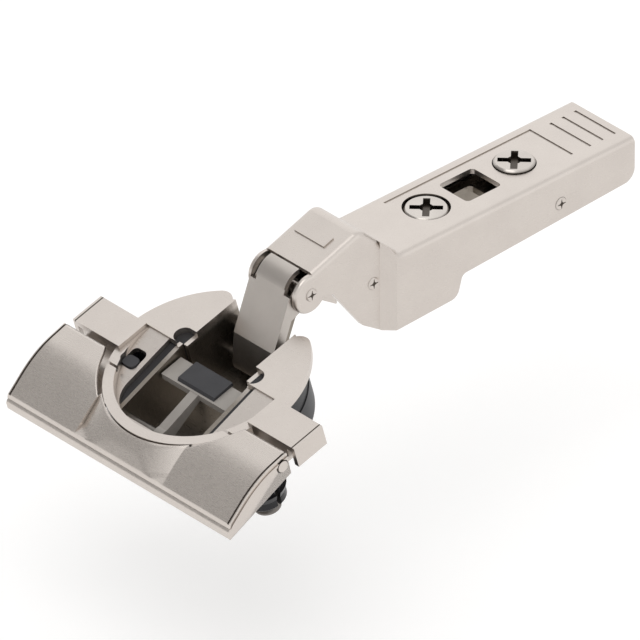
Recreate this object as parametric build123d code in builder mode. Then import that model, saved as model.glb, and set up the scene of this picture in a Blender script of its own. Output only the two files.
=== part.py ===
from build123d import *
from math import cos, sin, tan, radians
import os

# Concealed cup hinge with a cranked clip-on arm, shown fully open.
# Row frame, in millimetres: +X runs along the arm to its rear end, +Z is the outward
# normal of the arm's top plate, and y = 0 is the hinge's middle plane. The origin is
# on the arm's top plate, where its front edge bends into the crank.

# Sheet and running fits
sheet = 1.0                 # thickness of the arm's folded sheet
bend = 1.2                  # outside radius of its long folds
pin_fit = 0.05              # radial clearance of a turning pin
slide_fit = 0.3             # clearance beside a part that slides or swings
seat_gap = 0.02             # between two pieces that are seated face to face

# Arm
arm_length = 55.6
arm_half_width = 8.5
arm_rear_depth = 8.6        # side wall below the top plate, at the rear end
arm_mid_depth = 10.6        # the same, just behind the skirt
skirt_rear = 13.2           # rear edge of the deep skirt
skirt_front = -4.2          # its front edge, at the crank
skirt_depth = 15.2
nose_half_width = 6.3
joggle_rear = -2.3          # the walls step in from here
joggle_front = -4.4         # to here
crank_foot = -1.4           # the crank's slope meets the top plate here
crank_x, crank_z = -8.8, 7.2        # upper bend between the slope and the nose plate
nose_x, nose_z = -20.4, 3.2         # front edge of the nose plate
ear_radius = 3.8            # round end of the nose walls about the front pivot

# Pivots on the arm
pivot_front = (-20.9, -0.9)         # outer link
pivot_rear = (-6.0, -5.0)           # inner link
arm_pin_radius = 1.25
arm_pin_proud = 0.25        # staked head that stands out of the wall

# Cup frame: the flange plane at its centre, and how far it is tilted when fully open
cup_x, cup_z = -40.98, -10.41
cup_tilt = 16.0
cup_radius = 17.5           # 35 mm bore in the door
rim_radius = 19.4
rim_thickness = 1.3
cup_depth = 13.9            # from the flange plane to the cup's floor outside
cup_wall = 0.9
pot_fit_top = -7.3          # the pot has its full diameter below this height
pot_relief = 0.2            # and is this much slimmer in radius above it

# Pivots in the cup, as (distance towards the arm, height above the flange plane)
cup_pivot_outer = (11.9, -9.7)
cup_pivot_inner = (14.7, -5.2)
axle_radius = 1.1           # bent wire that carries both links

# Slots in the cup
rear_slot_half = 7.7
front_slot_half = 11.1
front_slot_edge = -14.3
slot_corner = 5.4
slot_step = 2.0             # where the wide front opening meets the rear slot
rear_gate = 7.1             # the cup's rear wall is open down to this depth for the links
front_slope = 9.7           # the front plate's inner part falls away by this angle
front_drop = 0.5            # and starts this far below the flange

# Links
link_sheet = 1.0
link_play = 0.15            # beside the links between the nose walls
link_face = 4.1             # front face of the outer link ahead of its pivots
link_lobe = 2.4             # round ends of its side flanges
link_waist = 2.2            # depth of the side flanges between the pivots
link_curl = 5.8             # the web curves in to the lower pivot below this height
roll_half_width = 3.6       # tongue rolled over the front pivot
roll_radius = 4.4
inner_half_width = 3.9
inner_sheet = 1.5
inner_lobe = 2.1            # rolled end of the inner link on the cup's axle
open_eye_radius = 3.1       # bore at the one pivot that is left open
open_eye_wall = 0.9

# Front plate with its two ears
plate_sheet = 1.0
band_inner = 16.3           # round rim between the opening and the flap
band_outer = 18.3
ear_rise = 0.3              # ears stand this far above the flange plane
ear_inner = 17.9
ear_outer = 28.7
ear_front = -5.0
ear_end_drop = 4.4          # depth of the ears' folded ends
shelf_level = -2.7          # shelf under the flap that carries the dowels
shelf_front = -14.2
shelf_outer = 26.5

# Mounting flap, as (distance towards the arm, height) in the cup frame
flap_half_width = 28.9
flap_pin = (-8.4, -1.0)
flap_head_radius = 1.1
flap_journal_radius = 0.55
flap_sheet = 0.8
flap_wing_inner = 11.5      # the wings' inner ends
flap_back = (-6.8, 0.9)     # rear edge of the wings
flap_crown = (-14.6, 0.4)
flap_brow = (-23.2, -4.5)   # front end of the crown
flap_lip = (-23.2, -7.1)    # lowest front edge
flap_middle_back = (-13.5, -1.9)
flap_middle_crown = (-19.3, -2.9)
flap_end_depth = 3.8        # rear corner of the end walls below the flange plane
flap_bore = 19.6            # clearance circle round the cup, through the wings
flap_middle_bore = 18.6     # the same, through the middle

# Expanding dowels
dowel_x = -9.5
dowel_y = 22.5
dowel_radius = 4.0
dowel_length = 8.0
dowel_barb = 0.45
core_radius = 1.2
core_cone = 2.5
core_travel = 1.2
core_top = -0.9             # its upper end stands close under the flap
flap_lift = 80.0            # degrees that the flap opens

# Damper in the cup
rocker_pivot = (-12.2, -7.0)
rocker_pin_radius = 0.9
rocker_half_width = 8.5
rocker_arm_y = 1.0          # the thin arm stands beside the middle plane
rocker_arm_sheet = 1.0
rocker_front, rocker_rear = -3.3, 1.6
rocker_top, rocker_bottom = -3.3, -4.7
pad_half_width = 4.7
pad_y = 0.6
pad_rear = (2.0, -2.6)
switch_x, switch_y = -4.5, 13.8     # window for the switch, far side only
switch_length, switch_width = 4.3, 3.4
switch_travel = 1.6
switch_corner = 1.1

# Adjusting screws, and the window between them
screw_front_x, screw_front_radius = 12.7, 4.1
screw_rear_x, screw_rear_radius = 34.1, 3.85
screw_rear_proud = 0.6
screw_shank_radius = 2.4
cross_length, cross_width, cross_depth = 6.0, 1.3, 1.1
window_x, window_length, window_width = 23.3, 8.4, 7.7

# Clip carriage inside the arm
guide_x, guide_z = 37.5, -6.1       # pin that the carriage slides and tilts on
guide_radius = 1.25
rail_half_width = 6.9
rail_sheet = 1.2
rail_top = -3.6
rail_depth = 8.5            # lower edge of its side walls below the arm's top plate
rail_front, rail_rear = 3.0, 51.5
cam_offset = 1.6            # throw of the depth cam
cam_pin_radius = 1.4
cam_head_depth = 2.4
cam_pin_foot = -4.6         # its pin ends above the guide pin
depth_travel = 1.4          # each way
collar_radius = 4.8         # collars that keep both screws in the arm
collar_play = 0.1
lever_pivot = (47.6, -6.6)
lever_pin_radius = 0.8
lever_half_width = 5.2
lever_hub = 1.6

os.makedirs("parts", exist_ok=True)


def cup_dir(u, w):
    """Row-frame direction of a direction given in the cup's own side view."""
    a = radians(cup_tilt)
    return Vector(u * cos(a) - w * sin(a), 0, u * sin(a) + w * cos(a))


cup_origin = Vector(cup_x, 0, cup_z)
cup_side = Plane(origin=cup_origin, x_dir=cup_dir(1, 0), z_dir=(0, -1, 0))
arm_side = Plane.XZ


def cup_level(height):
    """Plane parallel to the flange, at a height above it."""
    return Plane(origin=cup_origin + cup_dir(0, height), x_dir=cup_dir(1, 0), z_dir=cup_dir(0, 1))


def cup_point(u, w):
    """Row-frame point (x, z) of a point in the cup's side view."""
    p = cup_origin + cup_dir(u, w)
    return p.X, p.Z


def to_cup(x, z):
    """Cup side-view point of a row-frame point (x, z)."""
    p = Vector(x, 0, z) - cup_origin
    return p.dot(cup_dir(1, 0)), p.dot(cup_dir(0, 1))


def inset(chain, gap):
    """A chain of points moved to its right-hand side by gap, with mitred corners."""
    moved = []
    for i, (x, y) in enumerate(chain):
        before = Vector(x, y) - Vector(*chain[i - 1]) if i else None
        after = Vector(*chain[i + 1]) - Vector(x, y) if i + 1 < len(chain) else None
        normals = [Vector(d.Y, -d.X).normalized() for d in (before, after) if d is not None]
        mean = sum(normals, Vector(0, 0)).normalized()
        reach = gap / mean.dot(normals[0])
        moved.append((x + mean.X * reach, y + mean.Y * reach))
    return moved


def finish(builder, name):
    """Label a finished piece and write it to its own file."""
    builder.part.label = name
    export_step(builder.part, f"parts/{name}.step")


# Arm: one folded sheet
top_chain = [(nose_x, nose_z), (crank_x, crank_z), (crank_foot, 0), (arm_length, 0)]
wall_chain = [
    (arm_length, -arm_rear_depth),
    (skirt_rear + 0.4, -arm_mid_depth),
    (skirt_rear - 0.8, -skirt_depth + 0.3),
    (skirt_front, -skirt_depth - 0.3),
    (skirt_front - 4.4, -skirt_depth + 2.6),
    (-14.9, -4.2),
    (-15.7, -2.9),
    (pivot_front[0] + 3.4, pivot_front[1] - 1.7),
]
wall_radii = [0, 2.5, 1.2, 2.0, 0.4, 1.5, 1.0, 0.5, 0, 0]
front_open = pivot_front[0] - 2 * ear_radius
below = -skirt_depth - 5
joggle_chain = [
    (front_open, nose_half_width),
    (joggle_front, nose_half_width),
    (joggle_rear, arm_half_width),
    (arm_length + 1, arm_half_width),
]
front_wall_point = (nose_x, pivot_front[1])
ear_edge = 0.6              # rounding of the ear's outer edge
inner_top = inset(top_chain, sheet)
inner_joggle = inset(joggle_chain, sheet)


def mirrored(chain):
    """A closed outline from one side's chain and its mirror image."""
    return chain + [(x, -y) for x, y in reversed(chain)]


def on_top(edge, half_width):
    """True for an edge of a prism's long top chain."""
    middle = edge.center()
    ends = [v.Z for v in edge.vertices()]
    return abs(abs(middle.Y) - half_width) < 0.01 and min(ends) > -0.01 and middle.X < arm_length - 0.1


def front_ears(half_width):
    """Round front ends of the nose walls, cut off level with the nose plate's front edge."""
    with BuildPart() as ears:
        with BuildSketch(arm_side):
            with Locations(pivot_front):
                Circle(ear_radius)
        extrude(amount=half_width, both=True)
        fillet(ears.edges().filter_by(GeomType.CIRCLE), ear_edge)
        with BuildSketch(arm_side):
            with Locations(front_wall_point):
                Rectangle(2 * ear_radius, 2 * ear_radius, align=(Align.MIN, Align.MIN))
        extrude(amount=half_width, both=True, mode=Mode.SUBTRACT)
    return ears.part


def arm_prism(half_width):
    """The arm's side outline as a solid of one width, its long top edges rounded."""
    with BuildPart() as prism:
        with BuildSketch(arm_side):
            with BuildLine():
                FilletPolyline(
                    *top_chain, *wall_chain, front_wall_point,
                    radius=[0, 2 * bend, 2 * bend, *wall_radii], close=True)
            make_face()
        extrude(amount=half_width, both=True)
        fillet([e for e in prism.edges() if on_top(e, half_width)], bend)
        add(front_ears(half_width))
    return prism.part


wide_prism = arm_prism(arm_half_width)
narrow_prism = arm_prism(nose_half_width)

with BuildPart() as arm_hollow:
    with BuildSketch(Plane.XY.offset(below)):
        with BuildLine():
            Polyline(*mirrored(inner_joggle), close=True)
        make_face()
    extrude(amount=-below + crank_z)
    with BuildSketch(arm_side):
        with BuildLine():
            Polyline(
                (front_open, crank_z), (nose_x, crank_z), (nose_x, nose_z), *inner_top[:-1],
                (arm_length + 1, -sheet), (arm_length + 1, below), (front_open, below), close=True)
        make_face()
    extrude(amount=arm_half_width, both=True, mode=Mode.INTERSECT)

nose_slope = Vector(crank_x - nose_x, 0, crank_z - nose_z).normalized()
rib_x, rib_y, rib_length, rib_width, rib_rise = -13.9, 0.5, 7.6, 2.5, 0.8
rib_z = nose_z + (rib_x - nose_x) * nose_slope.Z / nose_slope.X
rib_end = Plane(
    origin=(rib_x, rib_y, rib_z), x_dir=(0, -1, 0), z_dir=nose_slope)

with BuildPart() as hinge_arm:
    with BuildSketch(Plane.XY.offset(below)):
        with BuildLine():
            Polyline(*mirrored(joggle_chain[1:]), close=True)
        make_face()
    extrude(amount=-2 * below)
    add(wide_prism, mode=Mode.INTERSECT)
    add(narrow_prism)
    add(arm_hollow.part, mode=Mode.SUBTRACT)
    # Lanced rib on the nose: flush at one end, open under its raised end
    with BuildSketch(rib_end):
        Polygon(
            (-rib_length / 2, -0.3), (rib_length / 2, -0.3), (rib_length / 2, rib_rise),
            (-rib_length / 2, 0), align=None)
    extrude(amount=rib_width / 2, both=True)
    with BuildSketch(rib_end):
        with Locations((rib_length / 2, rib_rise * 0.3)):
            Rectangle(1.6, 0.45)
    extrude(amount=rib_width / 2 - 0.35, both=True, mode=Mode.SUBTRACT)
    # Screw holes and the window between them
    with BuildSketch(Plane.XY):
        with Locations((screw_front_x, 0)):
            Circle(screw_front_radius + slide_fit)
        with Locations((screw_rear_x, 0)):
            Circle(screw_rear_radius + slide_fit / 2)
        with Locations((window_x, 0)):
            RectangleRounded(window_length, window_width, 0.9)
    extrude(amount=-2 * sheet, mode=Mode.SUBTRACT)
    # Shallow pressed lines on the top plate
    with BuildSketch(Plane.XY):
        with Locations((25.8, 5.9)):
            Rectangle(35.4, 0.6)
        with Locations((43.5, 0.6)):
            Rectangle(0.6, 11.2)
        with Locations((47.8, 0), (50.8, 0), (53.8, 0)):
            Rectangle(0.6, 10.4)
    extrude(amount=-0.2, mode=Mode.SUBTRACT)
    # Holes for the staked link pins and for the guide pin
    with BuildSketch(arm_side):
        with Locations(pivot_front, pivot_rear):
            Circle(arm_pin_radius + 0.01)
        with Locations((guide_x, guide_z)):
            Circle(guide_radius + pin_fit)
    extrude(amount=arm_half_width + 1, both=True, mode=Mode.SUBTRACT)
finish(hinge_arm, "hinge_arm")


def cross_pin(plane, place, radius, half_length):
    """A round pin across the hinge, its two ends slightly crowned."""
    with BuildPart() as pin:
        with BuildSketch(plane):
            with Locations(place):
                Circle(radius)
        extrude(amount=half_length, both=True)
        chamfer(pin.edges().filter_by(GeomType.CIRCLE), 0.2)
    return pin


for name, place in (("front_link_pin", pivot_front), ("rear_link_pin", pivot_rear)):
    finish(cross_pin(arm_side, place, arm_pin_radius, nose_half_width + arm_pin_proud), name)


# Screws, both turned from above
def cross_recess():
    """Cross-shaped recess as a sketch: two bars with a widened middle."""
    with BuildSketch() as cross:
        with Locations((0, 0)):
            Rectangle(cross_length, cross_width, rotation=45)
            Rectangle(cross_length, cross_width, rotation=-45)
            Circle(cross_width)
    return cross.sketch_local


with BuildPart() as side_screw:
    head_bottom = -1.5
    with BuildSketch(Plane.XY.offset(-0.1)):
        with Locations((screw_front_x, 0)):
            Circle(screw_front_radius)
    extrude(amount=head_bottom)
    chamfer(side_screw.edges().group_by(Axis.Z)[-1], 0.35)
    with BuildSketch(Plane.XY.offset(-0.1 + head_bottom)):
        with Locations((screw_front_x, 0)):
            Circle(screw_shank_radius)
    extrude(amount=-7.4)
    with BuildSketch(Plane.XY.offset(-sheet - collar_play)):
        with Locations((screw_front_x, 0)):
            Circle(collar_radius)
    extrude(amount=-0.7)
    with BuildSketch(Plane.XY):
        with Locations((screw_front_x, 0)):
            add(cross_recess())
    extrude(amount=-cross_depth, mode=Mode.SUBTRACT)
finish(side_screw, "side_screw")

with BuildPart() as depth_cam:
    with BuildSketch(Plane.XY.offset(screw_rear_proud)):
        with Locations((screw_rear_x, 0)):
            Circle(screw_rear_radius)
    extrude(amount=-screw_rear_proud - cam_head_depth)
    chamfer(depth_cam.edges().group_by(Axis.Z)[-1], 0.35)
    with BuildSketch(Plane.XY.offset(-cam_head_depth)):
        with Locations((screw_rear_x, cam_offset)):
            Circle(cam_pin_radius)
    extrude(amount=cam_pin_foot + cam_head_depth)
    with BuildSketch(Plane.XY.offset(-sheet - collar_play)):
        with Locations((screw_rear_x, 0)):
            Circle(collar_radius)
    extrude(amount=-1.2)
    with BuildSketch(Plane.XY.offset(screw_rear_proud)):
        with Locations((screw_rear_x, 0)):
            add(cross_recess())
    extrude(amount=-cross_depth, mode=Mode.SUBTRACT)
finish(depth_cam, "depth_cam")

# Clip carriage: a channel that hooks on the mounting plate and slides inside the arm
rail_length = rail_rear - rail_front
with BuildPart() as clip_rail:
    with BuildSketch(Plane.YZ.offset(rail_front)):
        with Locations((0, rail_top)):
            Rectangle(2 * rail_half_width, rail_depth + rail_top, align=(Align.CENTER, Align.MAX))
        with Locations((0, rail_top - rail_sheet)):
            Rectangle(
                2 * (rail_half_width - rail_sheet), rail_depth, align=(Align.CENTER, Align.MAX),
                mode=Mode.SUBTRACT)
    extrude(amount=rail_length)
    fillet(
        [e for e in clip_rail.edges().filter_by(Axis.X)
         if abs(e.center().Z - rail_top) < 0.01], bend)
    with BuildSketch(Plane.XY.offset(rail_top)):
        with Locations((screw_front_x, 0)):
            SlotOverall(2 * screw_shank_radius + 2 * depth_travel + 1, 2 * (screw_shank_radius + slide_fit))
        with Locations((screw_rear_x, cam_offset)):
            SlotOverall(
                4 * cam_pin_radius + 2, 2 * (cam_pin_radius + slide_fit), rotation=90)
        with Locations((window_x, 0.8)):
            RectangleRounded(window_length - 0.6, window_width - 1.2, 0.9)
    extrude(amount=-2 * rail_sheet, mode=Mode.SUBTRACT)
    # Slots for the guide pin, and hooks at the front for the mounting plate
    with BuildSketch(arm_side):
        with Locations((guide_x, guide_z)):
            SlotOverall(2 * (guide_radius + slide_fit) + 2 * depth_travel, 2 * (guide_radius + 2 * pin_fit))
        with Locations((rail_front + 4.2, -rail_depth)):
            SlotOverall(4.6, 2.2)
        with Locations(lever_pivot):
            Circle(lever_pin_radius + pin_fit)
    extrude(amount=arm_half_width, both=True, mode=Mode.SUBTRACT)
finish(clip_rail, "clip_rail")

guide_pin = cross_pin(arm_side, (guide_x, guide_z), guide_radius, arm_half_width + arm_pin_proud)
finish(guide_pin, "guide_pin")

lever_pin = cross_pin(arm_side, lever_pivot, lever_pin_radius, rail_half_width + 0.1)
finish(lever_pin, "lever_pin")

# Release lever: a hooked plate under the rear end, turned up by a finger
lever_x, lever_z = lever_pivot
with BuildPart() as release_lever:
    with BuildSketch(arm_side):
        with Locations(lever_pivot):
            Circle(lever_hub)
        Polygon(
            (lever_x, lever_z + 0.5), (arm_length - 1.2, lever_z + 0.1),
            (arm_length - 0.8, lever_z - 1.1), (lever_x, lever_z - lever_hub), align=None)
        Polygon(
            (lever_x - lever_hub, lever_z), (lever_x + 0.4, lever_z - lever_hub),
            (lever_x - 1.6, lever_z - 5.4), (lever_x - 3.4, lever_z - 4.6),
            (lever_x - 2.2, lever_z - 3.4), align=None)
    extrude(amount=lever_half_width, both=True)
    with BuildSketch(arm_side):
        with Locations(lever_pivot):
            Circle(lever_pin_radius + pin_fit)
    extrude(amount=lever_half_width, both=True, mode=Mode.SUBTRACT)
finish(release_lever, "release_lever")

# Its return spring, a bent leaf between the carriage and the lever
spring_top = rail_top - rail_sheet - 0.02
with BuildPart() as lever_spring:
    with BuildSketch(arm_side):
        with BuildLine():
            Polyline(
                (lever_x + 1.5, spring_top), (lever_x + 3.8, spring_top), (lever_x + 3.8, spring_top - 0.25),
                (lever_x + 2.15, spring_top - 0.25), (lever_x + 3.9, lever_z + 0.6),
                (lever_x + 3.75, lever_z + 0.35), (lever_x + 1.5, spring_top - 0.25), close=True)
        make_face()
    extrude(amount=lever_half_width / 3, both=True)
finish(lever_spring, "lever_spring")

# Outer link, drawn along its own length from the cup's pivot to the nose's pivot
outer_foot = Vector(*cup_point(*cup_pivot_outer))
outer_head = Vector(*pivot_front)
outer_length = (outer_head - outer_foot).length
outer_way = (outer_head - outer_foot).normalized()
link_side = Plane(
    origin=(outer_foot.X, 0, outer_foot.Y), x_dir=(outer_way.X, 0, outer_way.Y), z_dir=(0, -1, 0))
link_half_width = nose_half_width - sheet - link_play
link_inside = link_half_width - link_sheet
web_back = link_face - link_sheet
eye_radius = arm_pin_radius + pin_fit
roll_start = 26             # the roll's free end, in degrees from the link's length
roll_seat = outer_length - 1.0

with BuildPart() as outer_link:
    with BuildSketch(link_side) as flange_outline:
        for place, bead_place, bead in (
                (0, link_curl - 0.8, 0.8), (outer_length, outer_length - 5, link_waist / 2)):
            with BuildSketch(mode=Mode.PRIVATE) as lobe_and_bead:
                with Locations((place, 0)):
                    Circle(link_lobe)
                with Locations((bead_place, link_face - bead)):
                    Circle(bead)
                make_hull()
            add(lobe_and_bead.sketch)
        with Locations((outer_length / 2, link_face)):
            Rectangle(
                outer_length - 6 - link_curl + 2, link_waist, align=(Align.CENTER, Align.MAX))
        with Locations(((outer_length - 5 + roll_seat) / 2, link_face)):
            Rectangle(roll_seat - outer_length + 5, link_waist, align=(Align.CENTER, Align.MAX))
    extrude(amount=link_half_width, both=True)
    # Between the flanges only the web is left
    with BuildSketch(link_side):
        with BuildLine():
            Polyline(
                (-2 * link_lobe, axle_radius + 0.3), (0.2, axle_radius + 0.3), (link_curl, web_back),
                (2 * outer_length, web_back), (2 * outer_length, -3 * link_lobe),
                (-2 * link_lobe, -3 * link_lobe), close=True)
        make_face()
    extrude(amount=link_inside, both=True, mode=Mode.SUBTRACT)
    # Tongue rolled over the front pivot, free of the flanges at both sides
    with BuildSketch(link_side):
        with Locations((outer_length, 0)):
            Circle(roll_radius)
            Circle(roll_radius - link_sheet, mode=Mode.SUBTRACT)
        with BuildSketch(mode=Mode.PRIVATE) as roll_window:
            with BuildLine():
                reach = 3 * roll_radius
                Polyline(
                    (outer_length, 0), (outer_length + reach * cos(radians(roll_start)),
                    reach * sin(radians(roll_start))), (outer_length + reach, reach),
                    (outer_length, reach), close=True)
            make_face()
        add(roll_window.sketch, mode=Mode.INTERSECT)
        with Locations((outer_length, link_face)):
            Rectangle(3, link_sheet, align=(Align.MAX, Align.MAX))
    extrude(amount=roll_half_width, both=True)
    with BuildSketch(link_side):
        with Locations((0, 0)):
            Circle(axle_radius + pin_fit)
        with Locations((outer_length, 0)):
            Circle(eye_radius)
    extrude(amount=link_half_width, both=True, mode=Mode.SUBTRACT)
finish(outer_link, "outer_link")

# Inner link: a bent strip with a rolled foot and a wide eye at the opened pivot
inner_foot = Vector(*cup_point(*cup_pivot_inner))
inner_eye = Vector(*pivot_rear)
strip_chain = [
    (inner_foot.X + 0.3, inner_foot.Y + 0.8),
    (pivot_front[0] - 2.2, pivot_front[1] - 4.6),
    (pivot_front[0] + 0.4, pivot_front[1] - 2.85),
    (pivot_front[0] + 8.9, pivot_front[1] - 2.9),
    (inner_eye.X - open_eye_radius - 0.3, inner_eye.Y - 0.2),
]
strip_back = inset(strip_chain, inner_sheet / 2)
strip_face = inset(strip_chain, -inner_sheet / 2)

with BuildPart() as inner_link:
    with BuildSketch(arm_side):
        with BuildLine():
            FilletPolyline(
                *strip_face, *reversed(strip_back),
                radius=[0, 2.0, 1.6, 6.0, 0, 0, 5.0, 0.5, 1.0, 0], close=True)
        make_face()
        with Locations((inner_foot.X, inner_foot.Y)):
            Circle(inner_lobe)
        with Locations(pivot_rear):
            Circle(open_eye_radius + open_eye_wall)
    extrude(amount=inner_half_width, both=True)
    with BuildSketch(arm_side):
        with Locations((inner_foot.X, inner_foot.Y)):
            Circle(axle_radius + pin_fit)
        with Locations(pivot_rear):
            Circle(open_eye_radius)
    extrude(amount=inner_half_width, both=True, mode=Mode.SUBTRACT)
finish(inner_link, "inner_link")

# Leaf spring between the nose plate and the inner link's eye
with BuildPart() as closing_spring:
    eye_top = inner_eye.Y + open_eye_radius + open_eye_wall
    with BuildSketch(arm_side):
        with BuildLine():
            Polyline((-15.5, 3.4), (-11.0, 4.95), (-9.4, 4.6), (-5.6, eye_top + 0.35), (-4.4, eye_top + 0.2))
            offset(amount=0.25, side=Side.LEFT)
        make_face()
    extrude(amount=inner_half_width - 0.6, both=True)
finish(closing_spring, "closing_spring")


# Cup
def half_disc(radius, rear, limit):
    """Sketch of a disc about the cup's centre, kept on one side of a line across it."""
    with BuildSketch() as disc:
        Circle(radius)
        with Locations((limit, 0)):
            Rectangle(
                4 * radius, 4 * radius, align=(Align.MIN if rear else Align.MAX, Align.CENTER),
                mode=Mode.INTERSECT)
    return disc.sketch_local


trough_front_half = rocker_half_width + slide_fit
rocker_pin_half = trough_front_half + cup_wall + 1.2
cup_floor = -cup_depth + cup_wall
notch_radius = 1.85
notch_x = slot_step + notch_radius
lobe_tip = 2.4


def trough_plan(wall):
    """Plan of the link channel with its wall, narrower behind the step."""
    with BuildSketch() as plan:
        with Locations((slot_step + 1, 0)):
            Rectangle(
                slot_step + 1 + cup_radius, 2 * (trough_front_half + wall),
                align=(Align.MAX, Align.CENTER))
        with Locations((slot_step, 0)):
            Rectangle(
                cup_radius - slot_step - (cup_wall - wall), 2 * (rear_slot_half + wall),
                align=(Align.MIN, Align.CENTER))
    return plan.sketch_local


def above_slope(depth):
    """Side-view sketch of all that lies above a line parallel to the sloping front plate."""
    fall = tan(radians(front_slope))
    front = -2 * rim_radius
    with BuildSketch() as region:
        Polygon(
            (slot_step, -front_drop - depth), (slot_step, rim_radius), (front, rim_radius),
            (front, -front_drop - depth - (slot_step - front) * fall), align=None)
    return region.sketch_local


def relief_ring():
    """Thin ring that is taken off the pot's outside above its fitted length."""
    with BuildPart() as ring:
        with BuildSketch(cup_level(pot_fit_top)):
            Circle(rim_radius)
            Circle(cup_radius - pot_relief, mode=Mode.SUBTRACT)
        extrude(amount=-pot_fit_top)
    return ring.part


with BuildPart() as cup_shell:
    # Channel of the links, inside the cup's bore
    with BuildSketch(cup_level(0)):
        add(trough_plan(cup_wall))
        Circle(cup_radius, mode=Mode.INTERSECT)
    extrude(amount=-cup_depth)
    with BuildSketch(cup_level(0)):
        add(trough_plan(0))
        Circle(cup_radius - cup_wall, mode=Mode.INTERSECT)
    extrude(amount=cup_floor, mode=Mode.SUBTRACT)
    add(relief_ring(), mode=Mode.SUBTRACT)
    # Rim in two lobes behind the step
    with BuildSketch(cup_level(0)) as rim_plan:
        add(half_disc(rim_radius, True, slot_step))
        Rectangle(4 * rim_radius, 2 * rear_slot_half, mode=Mode.SUBTRACT)
        tips = [v for v in rim_plan.vertices() if v.X > cup_radius - 2 and abs(v.Y) < rear_slot_half + 0.1]
        fillet(tips, lobe_tip)
    extrude(amount=-rim_thickness)
    # Open rear for the links
    with BuildSketch(cup_level(0)):
        with Locations((slot_step, 0)):
            Rectangle(2 * rim_radius, 2 * rear_slot_half, align=(Align.MIN, Align.CENTER))
    extrude(amount=-rear_gate, mode=Mode.SUBTRACT)
    # Round notches beside the links
    with BuildSketch(cup_level(0)):
        for side in (-1, 1):
            with Locations((notch_x, side * (rear_slot_half + notch_radius - 0.4))):
                Circle(notch_radius)
            with Locations((notch_x, side * rear_slot_half)):
                Rectangle(2 * notch_radius, 3.0)
    extrude(amount=-rim_thickness, mode=Mode.SUBTRACT)
    # Front end of the channel stays under the front plate
    with BuildSketch(cup_side):
        add(above_slope(plate_sheet + seat_gap))
    extrude(amount=2 * cup_radius, both=True, mode=Mode.SUBTRACT)
    # Bores of the two link pins and of the rocker's pin
    with BuildSketch(cup_side):
        with Locations(cup_pivot_outer, cup_pivot_inner):
            Circle(axle_radius)
        with Locations(rocker_pivot):
            Circle(rocker_pin_radius)
    extrude(amount=2 * cup_radius, both=True, mode=Mode.SUBTRACT)
finish(cup_shell, "cup_shell")

for name, place in (("cup_pin_outer", cup_pivot_outer), ("cup_pin_inner", cup_pivot_inner)):
    with BuildPart() as cup_pin:
        with BuildSketch(cup_side):
            with Locations(place):
                Circle(axle_radius)
        extrude(amount=rear_slot_half + cup_wall, both=True)
        with BuildSketch(cup_level(0)):
            Circle(cup_radius)
        extrude(amount=-cup_depth, mode=Mode.INTERSECT)
    finish(cup_pin, name)

# Front plate: sloping inner part with the opening, round band, and two ears with a shelf
slope_front = [
    (front_slot_edge, -front_slot_half), (front_slot_edge, front_slot_half),
    (slot_step + 1, front_slot_half), (slot_step + 1, -front_slot_half)]
shelf_inner = cup_radius + 0.1

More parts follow.
